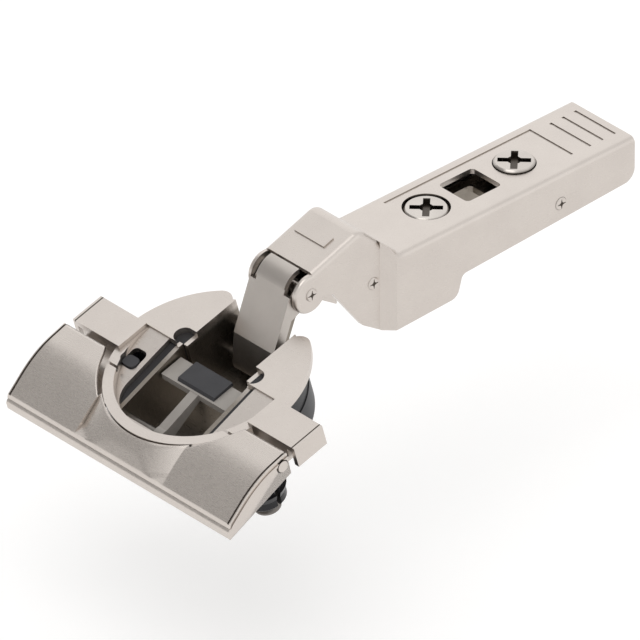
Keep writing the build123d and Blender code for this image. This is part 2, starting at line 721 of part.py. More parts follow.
with BuildPart() as ear_plate:
    # Band and sloping plate in one wedge
    with BuildSketch(cup_level(0)):
        add(half_disc(band_outer, False, slot_step))
    extrude(amount=-cup_depth)
    with BuildSketch(cup_side):
        add(above_slope(plate_sheet))
    extrude(amount=2 * cup_radius, both=True, mode=Mode.INTERSECT)
    with BuildSketch(cup_level(rim_radius)):
        Rectangle(4 * rim_radius, 4 * rim_radius)
    extrude(amount=-rim_radius - front_drop, mode=Mode.SUBTRACT)
    with BuildPart(mode=Mode.PRIVATE) as dish:
        with BuildSketch(cup_level(0)):
            Circle(band_inner)
        extrude(amount=-cup_depth)
        with BuildSketch(cup_side):
            add(above_slope(0))
        extrude(amount=2 * cup_radius, both=True, mode=Mode.INTERSECT)
    add(dish.part, mode=Mode.SUBTRACT)
    # Ears with folded ends, and the shelf that carries the dowels
    for side in (-1, 1):
        with BuildSketch(cup_level(ear_rise)):
            with Locations((ear_front, side * ear_outer)):
                Rectangle(
                    slot_step - ear_front, ear_outer - band_inner - 0.4,
                    align=(Align.MIN, Align.MAX if side > 0 else Align.MIN))
        extrude(amount=-plate_sheet - 0.2)
        with BuildSketch(cup_level(ear_rise)):
            with Locations((ear_front, side * ear_outer)):
                Rectangle(
                    slot_step - ear_front, plate_sheet, align=(Align.MIN, Align.MAX if side > 0 else Align.MIN))
        extrude(amount=-ear_end_drop)
        with BuildSketch(cup_level(ear_rise)):
            with Locations((ear_front, side * shelf_outer)):
                Rectangle(
                    plate_sheet, shelf_outer - shelf_inner, align=(Align.MIN, Align.MAX if side > 0 else Align.MIN))
        extrude(amount=shelf_level - plate_sheet - ear_rise)
        with BuildSketch(cup_level(shelf_level)):
            with Locations((shelf_front, side * shelf_outer)):
                Rectangle(
                    ear_front + plate_sheet - shelf_front, shelf_outer - 8,
                    align=(Align.MIN, Align.MAX if side > 0 else Align.MIN))
            Circle(cup_radius + seat_gap, mode=Mode.SUBTRACT)
        extrude(amount=-plate_sheet)
        # Lug of the flap's pin, and the hole of the dowel's core
        with BuildSketch(cup_side.offset(-side * shelf_outer)):
            with Locations(flap_pin):
                Circle(flap_journal_radius + 0.3)
            with Locations((flap_pin[0], flap_pin[1])):
                Rectangle(
                    2 * flap_journal_radius + 0.6, flap_pin[1] - shelf_level + plate_sheet,
                    align=(Align.CENTER, Align.MAX))
        extrude(amount=side * 1.2)
    with BuildSketch(cup_level(rim_radius)):
        with Locations((dowel_x, -dowel_y), (dowel_x, dowel_y)):
            Circle(core_radius + slide_fit)
    extrude(amount=-2 * rim_radius, mode=Mode.SUBTRACT)
    # Opening of the cup
    with BuildSketch(cup_level(rim_radius)):
        with BuildLine():
            FilletPolyline(
                *slope_front, radius=[slot_corner, slot_corner, 0, 0], close=True)
        make_face()
        with Locations((switch_x, switch_y)):
            RectangleRounded(switch_length, switch_width, switch_corner)
    extrude(amount=-2 * rim_radius, mode=Mode.SUBTRACT)
    with BuildSketch(cup_side):
        with Locations(flap_pin):
            Circle(flap_journal_radius + 0.01)
    extrude(amount=ear_outer, both=True, mode=Mode.SUBTRACT)
finish(ear_plate, "ear_plate")

# Damper housings: dark segments that fill the cup's bore beside the link channel
housing_top = -rim_thickness - seat_gap
for name, side in (("damper_housing_left", 1), ("damper_housing_right", -1)):
    with BuildPart() as housing:
        with BuildSketch(cup_level(housing_top)):
            Circle(cup_radius)
            with Locations((0, -side * 2 * cup_radius)):
                Rectangle(4 * cup_radius, 4 * cup_radius, mode=Mode.SUBTRACT)
            add(trough_plan(cup_wall + seat_gap), mode=Mode.SUBTRACT)
        extrude(amount=-cup_depth - housing_top + 0.6)
        chamfer(housing.edges().group_by(Axis(cup_origin, cup_dir(0, 1)))[0], 0.8)
        with BuildSketch(cup_side):
            add(above_slope(plate_sheet + seat_gap))
        extrude(amount=2 * cup_radius, both=True, mode=Mode.SUBTRACT)
        with BuildSketch(cup_side):
            with Locations(rocker_pivot):
                Circle(rocker_pin_radius + 0.01)
        extrude(amount=rocker_pin_half + seat_gap, both=True, mode=Mode.SUBTRACT)
        add(relief_ring(), mode=Mode.SUBTRACT)
        if side > 0:
            with BuildSketch(cup_level(0)):
                with Locations((switch_x, switch_y)):
                    Rectangle(switch_length + 0.4, switch_width + 0.4)
            extrude(amount=-6, mode=Mode.SUBTRACT)
    finish(housing, name)

# Damper rocker: a bar that the outer link pushes down, on a thin arm
rocker_x, rocker_z = rocker_pivot
with BuildPart() as damper_rocker:
    with BuildSketch(cup_side):
        Polygon(
            (rocker_front, rocker_bottom), (rocker_front, rocker_top), (rocker_rear, rocker_top),
            (rocker_rear, rocker_bottom), align=None)
    extrude(amount=rocker_half_width, both=True)
    with BuildSketch(cup_side):
        with Locations(rocker_pivot):
            Circle(rocker_pin_radius + 0.9)
        Polygon(
            (rocker_x, rocker_z + 1.6), (rocker_front + 0.5, rocker_top), (rocker_front + 0.5, rocker_bottom),
            (rocker_x, rocker_z - 1.4), align=None)
    extrude(amount=rocker_arm_sheet, both=True)
    with BuildSketch(cup_side):
        with Locations(rocker_pivot):
            Circle(rocker_pin_radius + pin_fit)
    extrude(amount=rocker_half_width, both=True, mode=Mode.SUBTRACT)
finish(damper_rocker, "damper_rocker")

with BuildPart() as rocker_pad:
    with BuildSketch(cup_side):
        Polygon(
            (rocker_front + 0.4, rocker_top + seat_gap), (rocker_front + 0.8, rocker_top + 0.6),
            pad_rear, (pad_rear[0], rocker_top + seat_gap), align=None)
    extrude(amount=pad_half_width, both=True)
finish(rocker_pad, "rocker_pad")

rocker_pin = cross_pin(cup_side, rocker_pivot, rocker_pin_radius, rocker_pin_half)
finish(rocker_pin, "rocker_pin")

# Switch that turns the damper off, far side only
slope_dir = cup_dir(cos(radians(front_slope)), sin(radians(front_slope)))
switch_level = -front_drop - (slot_step - switch_x) * tan(radians(front_slope))
switch_size = switch_length - switch_travel - slide_fit
with BuildPart() as damper_switch:
    with BuildSketch(cup_level(switch_level + 0.15)):
        with Locations((switch_x - switch_length / 2 + slide_fit / 2, switch_y)):
            RectangleRounded(
                switch_size, switch_width - slide_fit, switch_corner - slide_fit / 2,
                align=(Align.MIN, Align.CENTER))
    extrude(amount=-2.6)
finish(damper_switch, "damper_switch")

# Mounting flap: a pressed cover that hooks over both dowels
flap_skin_chain = [flap_back, flap_crown, flap_brow, flap_lip]
flap_under_chain = inset(flap_skin_chain, -flap_sheet)
middle_skin_chain = [flap_middle_back, flap_middle_crown, flap_brow, flap_lip]
middle_under_chain = inset(middle_skin_chain, -flap_sheet)
flap_foot = (flap_lip[0] + flap_sheet, flap_lip[1])
end_foot = (flap_back[0] - 0.2, -flap_end_depth)


def flap_section(skin, radii, foot):
    """Side-view sketch under a skin chain, closed along a line from its lip to a foot point."""
    with BuildSketch() as section:
        with BuildLine():
            FilletPolyline(*skin, foot, radius=[0, *radii, 0, 0], close=True)
        make_face()
    return section.sketch_local


def bore_cut(radius, half_width):
    """Round clearance of the cup, as a prism through the flap between two side planes."""
    with BuildPart() as cut:
        with BuildSketch(cup_level(rim_radius)):
            Circle(radius)
        extrude(amount=-2 * rim_radius)
        with BuildSketch(cup_side):
            Rectangle(8 * rim_radius, 8 * rim_radius)
        extrude(amount=half_width, both=True, mode=Mode.INTERSECT)
    return cut.part


crown_bend, brow_bend = 9.0, 1.6
with BuildPart() as mounting_flap:
    with BuildSketch(cup_side):
        add(flap_section(flap_skin_chain, (crown_bend, brow_bend), end_foot))
    extrude(amount=flap_half_width, both=True)
    fillet(
        [e for e in mounting_flap.edges()
         if abs(abs(e.center().Y) - flap_half_width) < 0.01
         and to_cup(e.center().X, e.center().Z)[1] > flap_lip[1] + 0.9
         and e.center().X < cup_point(flap_back[0] - 0.4, 0)[0]
         and not (e.geom_type == GeomType.LINE
                  and abs(to_cup(e.center().X, e.center().Z)[1] - (end_foot[1] + flap_lip[1]) / 2) < 0.6)],
        0.7)
    # Hollow underneath, behind the skin and the front wall
    with BuildSketch(cup_side):
        add(flap_section(
            [(flap_back[0] + 1, flap_under_chain[0][1]), flap_under_chain[1], flap_under_chain[2],
             (flap_foot[0], flap_lip[1] - 3)],
            (crown_bend - flap_sheet, brow_bend - flap_sheet), (flap_back[0] + 1, flap_lip[1] - 3)))
    extrude(amount=flap_half_width - flap_sheet, both=True, mode=Mode.SUBTRACT)
    # Lower middle part between the wings
    with BuildSketch(cup_side):
        Rectangle(8 * rim_radius, 8 * rim_radius)
    extrude(amount=flap_wing_inner, both=True, mode=Mode.SUBTRACT)
    with BuildSketch(cup_side):
        add(flap_section(middle_skin_chain, (1.5, brow_bend), flap_foot))
        with BuildLine():
            Polyline(
                (middle_under_chain[0][0] + 3, middle_under_chain[0][1] + 0.3),
                *middle_under_chain[:3], (flap_foot[0], flap_lip[1] - 3),
                (flap_middle_back[0] + 3, flap_lip[1] - 3), close=True)
        make_face(mode=Mode.SUBTRACT)
    extrude(amount=flap_wing_inner + flap_sheet, both=True)
    # Walls at the wings' inner ends
    for side in (-1, 1):
        with BuildSketch(cup_side.offset(-side * flap_wing_inner)):
            add(flap_section(
                [(flap_middle_back[0], flap_crown[1]), (flap_crown[0] - 2, flap_crown[1]), flap_brow, flap_lip],
                (crown_bend / 3, brow_bend), (flap_middle_back[0], flap_middle_back[1] - 0.6)))
            add(flap_section(flap_skin_chain, (crown_bend, brow_bend), end_foot), mode=Mode.INTERSECT)
            with BuildLine():
                Polyline(
                    (middle_under_chain[0][0] + 3, middle_under_chain[0][1] + 0.3),
                    *middle_under_chain[:3], (flap_foot[0], flap_lip[1] - 3),
                    (flap_middle_back[0] + 3, flap_lip[1] - 3), close=True)
            make_face(mode=Mode.SUBTRACT)
        extrude(amount=-side * flap_sheet)
    add(bore_cut(flap_bore, flap_half_width), mode=Mode.SUBTRACT)
    with BuildSketch(cup_side):
        with Locations(flap_pin):
            Circle(flap_head_radius + pin_fit)
    extrude(amount=flap_half_width + 1, both=True, mode=Mode.SUBTRACT)
finish(mounting_flap, "mounting_flap")

for name, side in (("flap_pin_left", 1), ("flap_pin_right", -1)):
    with BuildPart() as flap_axle:
        with BuildSketch(cup_side.offset(-side * (shelf_outer - 1.2))):
            with Locations(flap_pin):
                Circle(flap_journal_radius)
        extrude(amount=-side * (flap_half_width - flap_sheet - shelf_outer + 1.2))
        with BuildSketch(cup_side.offset(-side * (flap_half_width - flap_sheet - 0.3))):
            with Locations(flap_pin):
                Circle(flap_head_radius)
        extrude(amount=-side * (flap_sheet + 0.5))
    finish(flap_axle, name)

# Expanding dowels under the shelf, with their cores
dowel_top = shelf_level - plate_sheet - seat_gap
dowel_foot = dowel_top - dowel_length
barb_pitch = 1.7
barb_count = int((dowel_length - 1.5) / barb_pitch)
mouth = 1.4
for name, side in (("left", 1), ("right", -1)):
    with BuildPart() as dowel:
        dowel_plane = Plane(
            origin=cup_origin + cup_dir(dowel_x, 0) + Vector(0, side * dowel_y, 0),
            x_dir=cup_dir(1, 0), z_dir=(0, -1, 0))
        with BuildSketch(dowel_plane):
            with BuildLine():
                barbs = []
                for i in range(barb_count):
                    z = dowel_top - 1.0 - i * barb_pitch
                    barbs += [(dowel_radius, z), (dowel_radius + dowel_barb, z - 0.1),
                              (dowel_radius, z - barb_pitch + 0.35)]
                Polyline(
                    (core_radius + slide_fit, dowel_top), (dowel_radius, dowel_top), *barbs,
                    (dowel_radius, dowel_foot + 0.8), (dowel_radius - 0.7, dowel_foot),
                    (core_cone + slide_fit, dowel_foot), (core_radius + slide_fit, dowel_foot + mouth),
                    close=True)
            make_face()
        revolve(axis=Axis(dowel_plane.origin, cup_dir(0, 1)))
        with BuildSketch(cup_level(dowel_foot)):
            with Locations((dowel_x, side * dowel_y)):
                Rectangle(0.9, 3 * dowel_radius)
        extrude(amount=dowel_length * 0.6, mode=Mode.SUBTRACT)
    finish(dowel, f"dowel_{name}")
    with BuildPart() as dowel_core:
        with BuildSketch(dowel_plane):
            Polygon(
                (0, core_top), (core_radius, core_top), (core_radius, dowel_foot - 0.15),
                (core_cone, dowel_foot - mouth), (core_cone, dowel_foot - mouth - 0.4),
                (0, dowel_foot - mouth - 0.4), align=None)
        revolve(axis=Axis(dowel_plane.origin, cup_dir(0, 1)))
    finish(dowel_core, f"dowel_core_{name}")
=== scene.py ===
import bmesh
import bpy
import math
from mathutils import Matrix, Vector


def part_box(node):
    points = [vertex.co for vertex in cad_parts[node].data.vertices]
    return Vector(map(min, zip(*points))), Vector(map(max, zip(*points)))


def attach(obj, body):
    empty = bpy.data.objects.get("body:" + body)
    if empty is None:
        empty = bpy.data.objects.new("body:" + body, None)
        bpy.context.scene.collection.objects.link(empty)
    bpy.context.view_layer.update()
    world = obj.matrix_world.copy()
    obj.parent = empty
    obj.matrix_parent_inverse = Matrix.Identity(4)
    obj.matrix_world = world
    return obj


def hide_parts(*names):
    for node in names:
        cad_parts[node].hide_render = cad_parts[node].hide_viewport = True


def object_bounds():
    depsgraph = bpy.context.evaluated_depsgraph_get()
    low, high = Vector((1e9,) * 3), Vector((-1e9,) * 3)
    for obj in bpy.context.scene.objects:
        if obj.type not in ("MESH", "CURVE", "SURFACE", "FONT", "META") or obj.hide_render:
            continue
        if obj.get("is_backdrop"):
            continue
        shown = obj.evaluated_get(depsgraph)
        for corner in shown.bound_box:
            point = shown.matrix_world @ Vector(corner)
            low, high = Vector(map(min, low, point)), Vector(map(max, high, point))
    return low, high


# Concealed cup hinge, folded open. Metres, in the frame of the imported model:
# +X along the arm to its rear, +Y to the far side, +Z out of the arm's top plate.
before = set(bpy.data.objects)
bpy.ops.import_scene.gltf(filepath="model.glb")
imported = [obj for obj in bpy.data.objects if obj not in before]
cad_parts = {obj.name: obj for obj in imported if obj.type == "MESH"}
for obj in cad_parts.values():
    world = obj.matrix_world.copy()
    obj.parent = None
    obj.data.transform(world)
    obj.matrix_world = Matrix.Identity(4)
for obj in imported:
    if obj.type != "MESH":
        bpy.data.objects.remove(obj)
cad_low, cad_high = (list(v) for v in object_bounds())
scene = bpy.context.scene
MM = 0.001
ORIGIN = (0, 0, 0)
ALONG_X, ALONG_Y, ALONG_Z = (1, 0, 0), (0, 1, 0), (0, 0, 1)

# The camera of the picture: nearly parallel, so it stands far off with a long lens
CAMERA_AZIMUTH = -42.9
CAMERA_ELEVATION = 32.8
PICTURE_WIDTH = 113.07 * MM
CAMERA_DISTANCE = 4.0
CAMERA_CLIP = (0.1, 50)
AIM_RIGHT = -9.5 * MM
AIM_UP = -15.35 * MM
SENSOR = 36.0

# Colours, as the metal or plastic itself has them, and colours of painted shade
NICKEL, NICKEL_DARK = (0.61, 0.56, 0.518), (0.59, 0.54, 0.50)
LINK, LINK_DARK = (0.50, 0.462, 0.428), (0.47, 0.435, 0.402)
# Painted shade: a darker copy of the nickel, for parts that lie inside the hinge
INSIDE_SHADE, INSIDE_SHADE_DARK = (0.27, 0.24, 0.205), (0.22, 0.195, 0.165)
SCREW, SCREW_DARK = (0.60, 0.56, 0.52), (0.54, 0.50, 0.465)
PIN, PIN_DARK = (0.20, 0.185, 0.17), (0.13, 0.12, 0.11)
SPRING, SPRING_DARK = (0.20, 0.19, 0.18), (0.12, 0.11, 0.10)
DARK_PLASTIC, DARK_PLASTIC_LOW = (0.026, 0.025, 0.027), (0.018, 0.018, 0.02)
PAD_RUBBER, PAD_RUBBER_LOW = (0.046, 0.046, 0.05), (0.038, 0.038, 0.042)
BLACK_PLASTIC, BLACK_PLASTIC_LOW = (0.014, 0.014, 0.016), (0.008, 0.008, 0.009)
GREY_PLASTIC, GREY_PLASTIC_LOW = (0.33, 0.308, 0.285), (0.29, 0.27, 0.25)
# Painted shade in the cup's channel below its rim
CHANNEL_SHADE = (0.25, 0.222, 0.19)
# Painted shade in gaps, grooves, recesses and dents
SEAM_SHADE = (0.055, 0.045, 0.036)
# Painted shade in corners
CORNER_SHADE = (0.10, 0.088, 0.075)

# Plated steel: fine rolling marks, a faint cloudiness and a slight waviness.
# Scales are per metre, depths in metres.
MARK_SCALE, MARK_DETAIL, MARK_SQUEEZE = 9000, 3, 0.08
MARK_DEPTH, MARK_STRENGTH = 0.0000015, 0.25
CLOUD_SCALE, CLOUD_DETAIL, CLOUD_START, CLOUD_END = 140, 3, 0.35, 0.62
WAVE_SCALE, WAVE_DETAIL, WAVE_DEPTH, WAVE_STRENGTH = 120, 1, 0.00002, 0.08
# Roughness between the marks' troughs and crests
STEEL_ROUGHNESS, COVER_ROUGHNESS, SCREW_ROUGHNESS = (0.26, 0.36), (0.24, 0.32), (0.2, 0.3)
LINK_ROUGHNESS, PIN_ROUGHNESS = (0.30, 0.42), (0.28, 0.42)
# The axis that the rolling marks of a piece run along
GRAIN_X, GRAIN_Y, GRAIN_Z = 0, 1, 2
# How far a corner's shade reaches, in millimetres, and the openness between which it fades
CORNER_REACH, CORNER_CLOSED, CORNER_OPEN, CORNER_SAMPLES = 1.6, 0.12, 0.62, 12
CORNER_STRENGTH, SCREW_CORNER_STRENGTH = 0.8, 0.9

# Plastic: a faint cloudiness and a moulded grain
BLOTCH_SCALE, BLOTCH_DETAIL = 240, 3
GRAIN_SCALE, GRAIN_DETAIL, GRAIN_DEPTH, GRAIN_STRENGTH = 2600, 3, 0.00001, 0.5
PLASTIC_SHINE = 0.28
HOUSING_ROUGHNESS, PAD_ROUGHNESS, DOWEL_ROUGHNESS, ROCKER_ROUGHNESS = 0.42, 0.5, 0.26, 0.4
NOISE_ROUGHNESS = 0.55

# The cup's own frame in millimetres: u towards the arm, w out of the flange
CUP_TILT = math.radians(16)
CUP_ORIGIN = (-40.98, 0, -10.41)
CUP_U = (math.cos(CUP_TILT), 0, math.sin(CUP_TILT))
CUP_W = (-math.sin(CUP_TILT), 0, math.cos(CUP_TILT))
# Heights in the cup's frame between which painted shade darkens the channel, and the shade's strength
CHANNEL_TOP, CHANNEL_FULL, CHANNEL_STRENGTH = -1.3, -2.2, 0.9

# Marks of painted shade in the finishes, and where they lie, in millimetres
FLAP_PIN = (-8.4, -1.0)
FLAP_PIN_GAP = (1.1, 1.35)
FLAP_HALF = 28.9
FLAP_END_BAND = 0.3
EAR_SEAM_Y, EAR_SEAM_HALF = 28.1, 0.14
RECESS_TOP, RECESS_FULL, RECESS_STRENGTH = 0.12, 0.45, 0.94
FRONT_SCREW_FACE, REAR_SCREW_FACE = 0.0, 0.6
STAR_HOLLOW, STAR_REACH = 0.07, 0.95
STAKED_PINS = ("front_link_pin", "rear_link_pin", "guide_pin")

# Flap: a pressed cover with raised wings, a ramp between them and a beaded front edge.
# Pairs are places (u, w) in the cup's frame.
FLAP_BACK, FLAP_CROWN, FLAP_BROW = (-6.8, 0.9), (-14.6, 0.4), (-22.2, -3.9)
FLAP_FRONT = [
    (-22.35, -4.1), (-22.65, -4.75), (-22.3, -4.87), (-22.65, -5.0), (-23.0, -5.25), (-23.2, -5.65),
    (-23.2, -6.9), (-23.05, -7.1)]
FLAP_FOOT = (-7.0, -3.8)
WING_REACH = 4.2
RAMP_BACK, RAMP_CROWN, RAMP_REACH = (-12.5, -0.3), (-19.4, -0.9), 1.6
RAMP_TOP, RAMP_FALL = -0.35, 0.72
WALL_TAPER = 0.42
WING_INNER = 11.4
WING_BORE, RAMP_BORE = 19.25, 18.47
SHEET = 0.8
PROFILE_STEPS = 30
WING_STEPS, RAMP_STEPS = 22, 14
# The groove near each end of the flap, and the end's bevel
SEAM_Y, SEAM_HALF, SEAM_DEPTH, SEAM_WALL = 28.35, 0.17, 0.5, 0.02
END_PLAY, END_BEVEL, END_DROP = 0.04, 0.14, 0.12
WELD = 0.002
SMOOTH_ANGLE = 32

# Floor, studio and lamps, in metres
FLOOR_SIZE, FLOOR_DROP = 6, 30 * MM
FLOOR_WHITE, FLOOR_GLOW = 0.75, 0.33
MATT = 0.9
STUDIO_COLOUR, STUDIO_STRENGTH = (0.985, 0.975, 0.965), 0.84
# A grey card on this side, which the flap's front slope mirrors
DARK_SIDE = (-0.62, 0.62, 0.48)
CARD_SIZE, CARD_DISTANCE, CARD_GREY = 0.62, 0.6, 0.62
# Name, direction from the object, distance, side and power of each square lamp
LAMPS = (
    ("key", (-0.5, -0.1, 1.3), 0.8, 0.6, 1.2),
    ("fill", (0.6, -1.2, 0.5), 0.9, 0.7, 0.35),
    ("rim", (0.9, 0.9, 0.7), 0.9, 0.9, 0.5),
)


def picture_axes():
    """Right, up and look directions of the picture."""
    a, e = math.radians(CAMERA_AZIMUTH), math.radians(CAMERA_ELEVATION)
    right = Vector((math.cos(a), math.sin(a), 0))
    look = Vector((-math.sin(a) * math.cos(e), math.cos(a) * math.cos(e), -math.sin(e)))
    return right, right.cross(look), look


def make_camera():
    right, up, look = picture_axes()
    data = bpy.data.cameras.new("camera")
    data.lens = SENSOR * CAMERA_DISTANCE / PICTURE_WIDTH
    data.sensor_width = SENSOR
    data.clip_start, data.clip_end = CAMERA_CLIP
    camera = bpy.data.objects.new("camera", data)
    camera.matrix_world = Matrix((
        (right.x, up.x, -look.x, 0), (right.y, up.y, -look.y, 0), (right.z, up.z, -look.z, 0), (0, 0, 0, 1)))
    camera.location = right * AIM_RIGHT + up * AIM_UP - look * CAMERA_DISTANCE
    scene.collection.objects.link(camera)
    scene.camera = camera


# Materials
class Shader:
    """Short way to build one material's node tree."""

    def __init__(self, name, base, metallic=0.0, roughness=0.4):
        self.material = bpy.data.materials.new(name)
        self.material.use_nodes = True
        self.nodes = self.material.node_tree.nodes
        self.links = self.material.node_tree.links
        self.surface = self.nodes["Principled BSDF"]
        self.surface.inputs["Base Color"].default_value = (*base, 1)
        self.surface.inputs["Metallic"].default_value = metallic
        self.surface.inputs["Roughness"].default_value = roughness
        self.place = self.nodes.new("ShaderNodeTexCoord").outputs["Object"]
        self.colour = None
        self.normal = None

    def noise(self, scale, detail, stretch=None):
        """Noise in the object's own metres; stretch squeezes it along an axis."""
        vector = self.place
        if stretch:
            mapping = self.nodes.new("ShaderNodeMapping")
            mapping.inputs["Scale"].default_value = stretch
            self.links.new(vector, mapping.inputs["Vector"])
            vector = mapping.outputs["Vector"]
        node = self.nodes.new("ShaderNodeTexNoise")
        node.inputs["Scale"].default_value = scale
        node.inputs["Detail"].default_value = detail
        node.inputs["Roughness"].default_value = NOISE_ROUGHNESS
        self.links.new(vector, node.inputs["Vector"])
        return node.outputs["Fac"]

    def span(self, value, low, high, from_low=0.3, from_high=0.7):
        """A value's span between two marks, spread over another span."""
        node = self.nodes.new("ShaderNodeMapRange")
        sockets = ("From Min", "From Max", "To Min", "To Max")
        for name, number in zip(sockets, (from_low, from_high, low, high)):
            node.inputs[name].default_value = number
        self.links.new(value, node.inputs["Value"])
        return node.outputs["Result"]

    def maths(self, kind, first, second=None):
        node = self.nodes.new("ShaderNodeMath")
        node.operation = kind
        for socket, value in zip(node.inputs, (first, second)):
            if value is None:
                continue
            if isinstance(value, (int, float)):
                socket.default_value = value
            else:
                self.links.new(value, socket)
        return node.outputs["Value"]

    def along(self, direction, origin):
        """Distance in millimetres from an origin in millimetres, along a direction of the model's frame."""
        node = self.nodes.new("ShaderNodeVectorMath")
        node.operation = "DOT_PRODUCT"
        self.links.new(self.place, node.inputs[0])
        node.inputs[1].default_value = [v / MM for v in direction]
        return self.maths("SUBTRACT", node.outputs["Value"], Vector(direction).dot(Vector(origin)))

    def near(self, value, middle, half):
        """1 where a value lies within a distance of a middle, else 0."""
        return self.maths("LESS_THAN", self.maths("ABSOLUTE", self.maths("SUBTRACT", value, middle)), half)

    def squares(self, first, second):
        """Sum of the squares of two values."""
        return self.maths("ADD", self.maths("MULTIPLY", first, first), self.maths("MULTIPLY", second, second))

    def colours(self, value, first, second, start=0.3, end=0.7):
        """Paints from one colour to another as a value grows."""
        ramp = self.nodes.new("ShaderNodeValToRGB")
        for element, position, colour in zip(ramp.color_ramp.elements, (start, end), (first, second)):
            element.position = position
            element.color = (*colour, 1)
        self.links.new(value, ramp.inputs["Fac"])
        self.paint(ramp.outputs["Color"])

    def paint(self, colour):
        self.colour = colour
        self.links.new(colour, self.surface.inputs["Base Color"])

    def tint(self, mask, colour):
        """Paints a plain colour over the finish where a mask is 1."""
        node = self.nodes.new("ShaderNodeMix")
        node.data_type = "RGBA"
        self.links.new(mask, node.inputs["Factor"])
        self.links.new(self.colour, node.inputs["A"])
        node.inputs["B"].default_value = (*colour, 1)
        self.paint(node.outputs["Result"])

    def paint_corner_shade(self, colour, strength):
        """Painted shade: darkens what lies deep in a corner, the more the more closed in it is."""
        node = self.nodes.new("ShaderNodeAmbientOcclusion")
        node.samples = CORNER_SAMPLES
        node.inputs["Distance"].default_value = CORNER_REACH * MM
        self.tint(self.span(node.outputs["AO"], strength, 0.0, CORNER_CLOSED, CORNER_OPEN), colour)

    def rough(self, value):
        self.links.new(value, self.surface.inputs["Roughness"])

    def bump(self, value, depth, strength):
        node = self.nodes.new("ShaderNodeBump")
        node.inputs["Strength"].default_value = strength
        node.inputs["Distance"].default_value = depth
        self.links.new(value, node.inputs["Height"])
        if self.normal:
            self.links.new(self.normal, node.inputs["Normal"])
        self.normal = node.outputs["Normal"]
        self.links.new(self.normal, self.surface.inputs["Normal"])


def plated_steel(
        name, light, dark, grain_axis, roughness=STEEL_ROUGHNESS, shade=CORNER_SHADE, depth=CORNER_STRENGTH):
    """Satin nickel plate: warm grey, with fine rolling marks along one axis, a faint cloudiness and painted
    shade in its corners.
    """
    steel = Shader(name, light, metallic=1.0)
    stretch = [1.0, 1.0, 1.0]
    stretch[grain_axis] = MARK_SQUEEZE
    marks = steel.noise(MARK_SCALE, MARK_DETAIL, stretch)
    clouds = steel.noise(CLOUD_SCALE, CLOUD_DETAIL)
    steel.colours(clouds, dark, light, CLOUD_START, CLOUD_END)
    # Painted shade, darkest where a corner is most closed in
    steel.paint_corner_shade(shade, depth)
    steel.rough(steel.span(marks, *roughness))
    steel.bump(marks, MARK_DEPTH, MARK_STRENGTH)
    steel.bump(steel.noise(WAVE_SCALE, WAVE_DETAIL), WAVE_DEPTH, WAVE_STRENGTH)
    return steel


def nickel(name, grain_axis=GRAIN_Y):
    return plated_steel(name, NICKEL, NICKEL_DARK, grain_axis)


def plastic(name, colour, dark, roughness):
    body = Shader(name, colour, roughness=roughness)
    body.surface.inputs["Specular IOR Level"].default_value = PLASTIC_SHINE
    body.colours(body.noise(BLOTCH_SCALE, BLOTCH_DETAIL), dark, colour)
    body.bump(body.noise(GRAIN_SCALE, GRAIN_DETAIL), GRAIN_DEPTH, GRAIN_STRENGTH)
    return body.material


def cover_finish():
    """Nickel of the flap, with painted shade in the gap round its pins' heads at the flap's ends."""
    steel = plated_steel("cover_nickel", NICKEL, NICKEL_DARK, GRAIN_Y, COVER_ROUGHNESS)
    across = steel.maths("SUBTRACT", steel.along(CUP_U, CUP_ORIGIN), FLAP_PIN[0])
    up = steel.maths("SUBTRACT", steel.along(CUP_W, CUP_ORIGIN), FLAP_PIN[1])
    inner, outer = FLAP_PIN_GAP
    radius = steel.maths("SQRT", steel.squares(across, up))
    ring = steel.near(radius, (inner + outer) / 2, (outer - inner) / 2)
    sideways = steel.maths("ABSOLUTE", steel.along(ALONG_Y, ORIGIN))
    at_end = steel.maths("GREATER_THAN", sideways, FLAP_HALF - FLAP_END_BAND)
    # Painted shade in the gap round each pin's head
    steel.tint(steel.maths("MULTIPLY", ring, at_end), SEAM_SHADE)
    return steel.material


def plate_finish():
    """Nickel of the front plate, with painted shade along the pressed seams beside the ears' folded ends, on
    the plate's upper side.
    """
    steel = nickel("plate_nickel")
    seam_shade = steel.near(steel.maths("ABSOLUTE", steel.along(ALONG_Y, ORIGIN)), EAR_SEAM_Y, EAR_SEAM_HALF)
    above = steel.maths("GREATER_THAN", steel.along(CUP_W, CUP_ORIGIN), 0.0)
    # Painted shade along each seam
    steel.tint(steel.maths("MULTIPLY", seam_shade, above), SEAM_SHADE)
    return steel.material


def cup_finish():
    """Nickel rim, and painted shade below it that darkens the channel towards brown-grey, fully at its bottom.
    """
    steel = nickel("cup_nickel")
    height = steel.along(CUP_W, CUP_ORIGIN)
    # Painted shade, darkening the channel towards its bottom
    steel.tint(steel.span(height, CHANNEL_STRENGTH, 0.0, CHANNEL_FULL, CHANNEL_TOP), CHANNEL_SHADE)
    return steel.material


def screw_finish(name, face):
    """Bright screw face at a height, with painted shade in the recess and on the edge below it, and in its
    corners.
    """
    steel = plated_steel(name, SCREW, SCREW_DARK, GRAIN_Y, SCREW_ROUGHNESS, SEAM_SHADE, SCREW_CORNER_STRENGTH)
    height = steel.along(ALONG_Z, ORIGIN)
    # Painted shade, darkening the screw below its face's height
    steel.tint(steel.span(height, RECESS_STRENGTH, 0.0, face - RECESS_FULL, face - RECESS_TOP), SEAM_SHADE)
    return steel.material


def pin_finish(pin):
    """Nickel pin end, with painted shade in the star-shaped staking mark about its axis."""
    low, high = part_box(pin)
    middle = [(a + b) / 2 / MM for a, b in zip(low, high)]
    steel = nickel(pin + "_steel")
    across = steel.maths("ABSOLUTE", steel.along(ALONG_X, middle))
    up = steel.maths("ABSOLUTE", steel.along(ALONG_Z, middle))
    star_shade = steel.maths("LESS_THAN", steel.maths("MULTIPLY", across, up), STAR_HOLLOW)
    inside = steel.maths("LESS_THAN", steel.squares(across, up), STAR_REACH)
    # Painted shade in the staking mark's star
    steel.tint(steel.maths("MULTIPLY", star_shade, inside), SEAM_SHADE)
    return steel.material


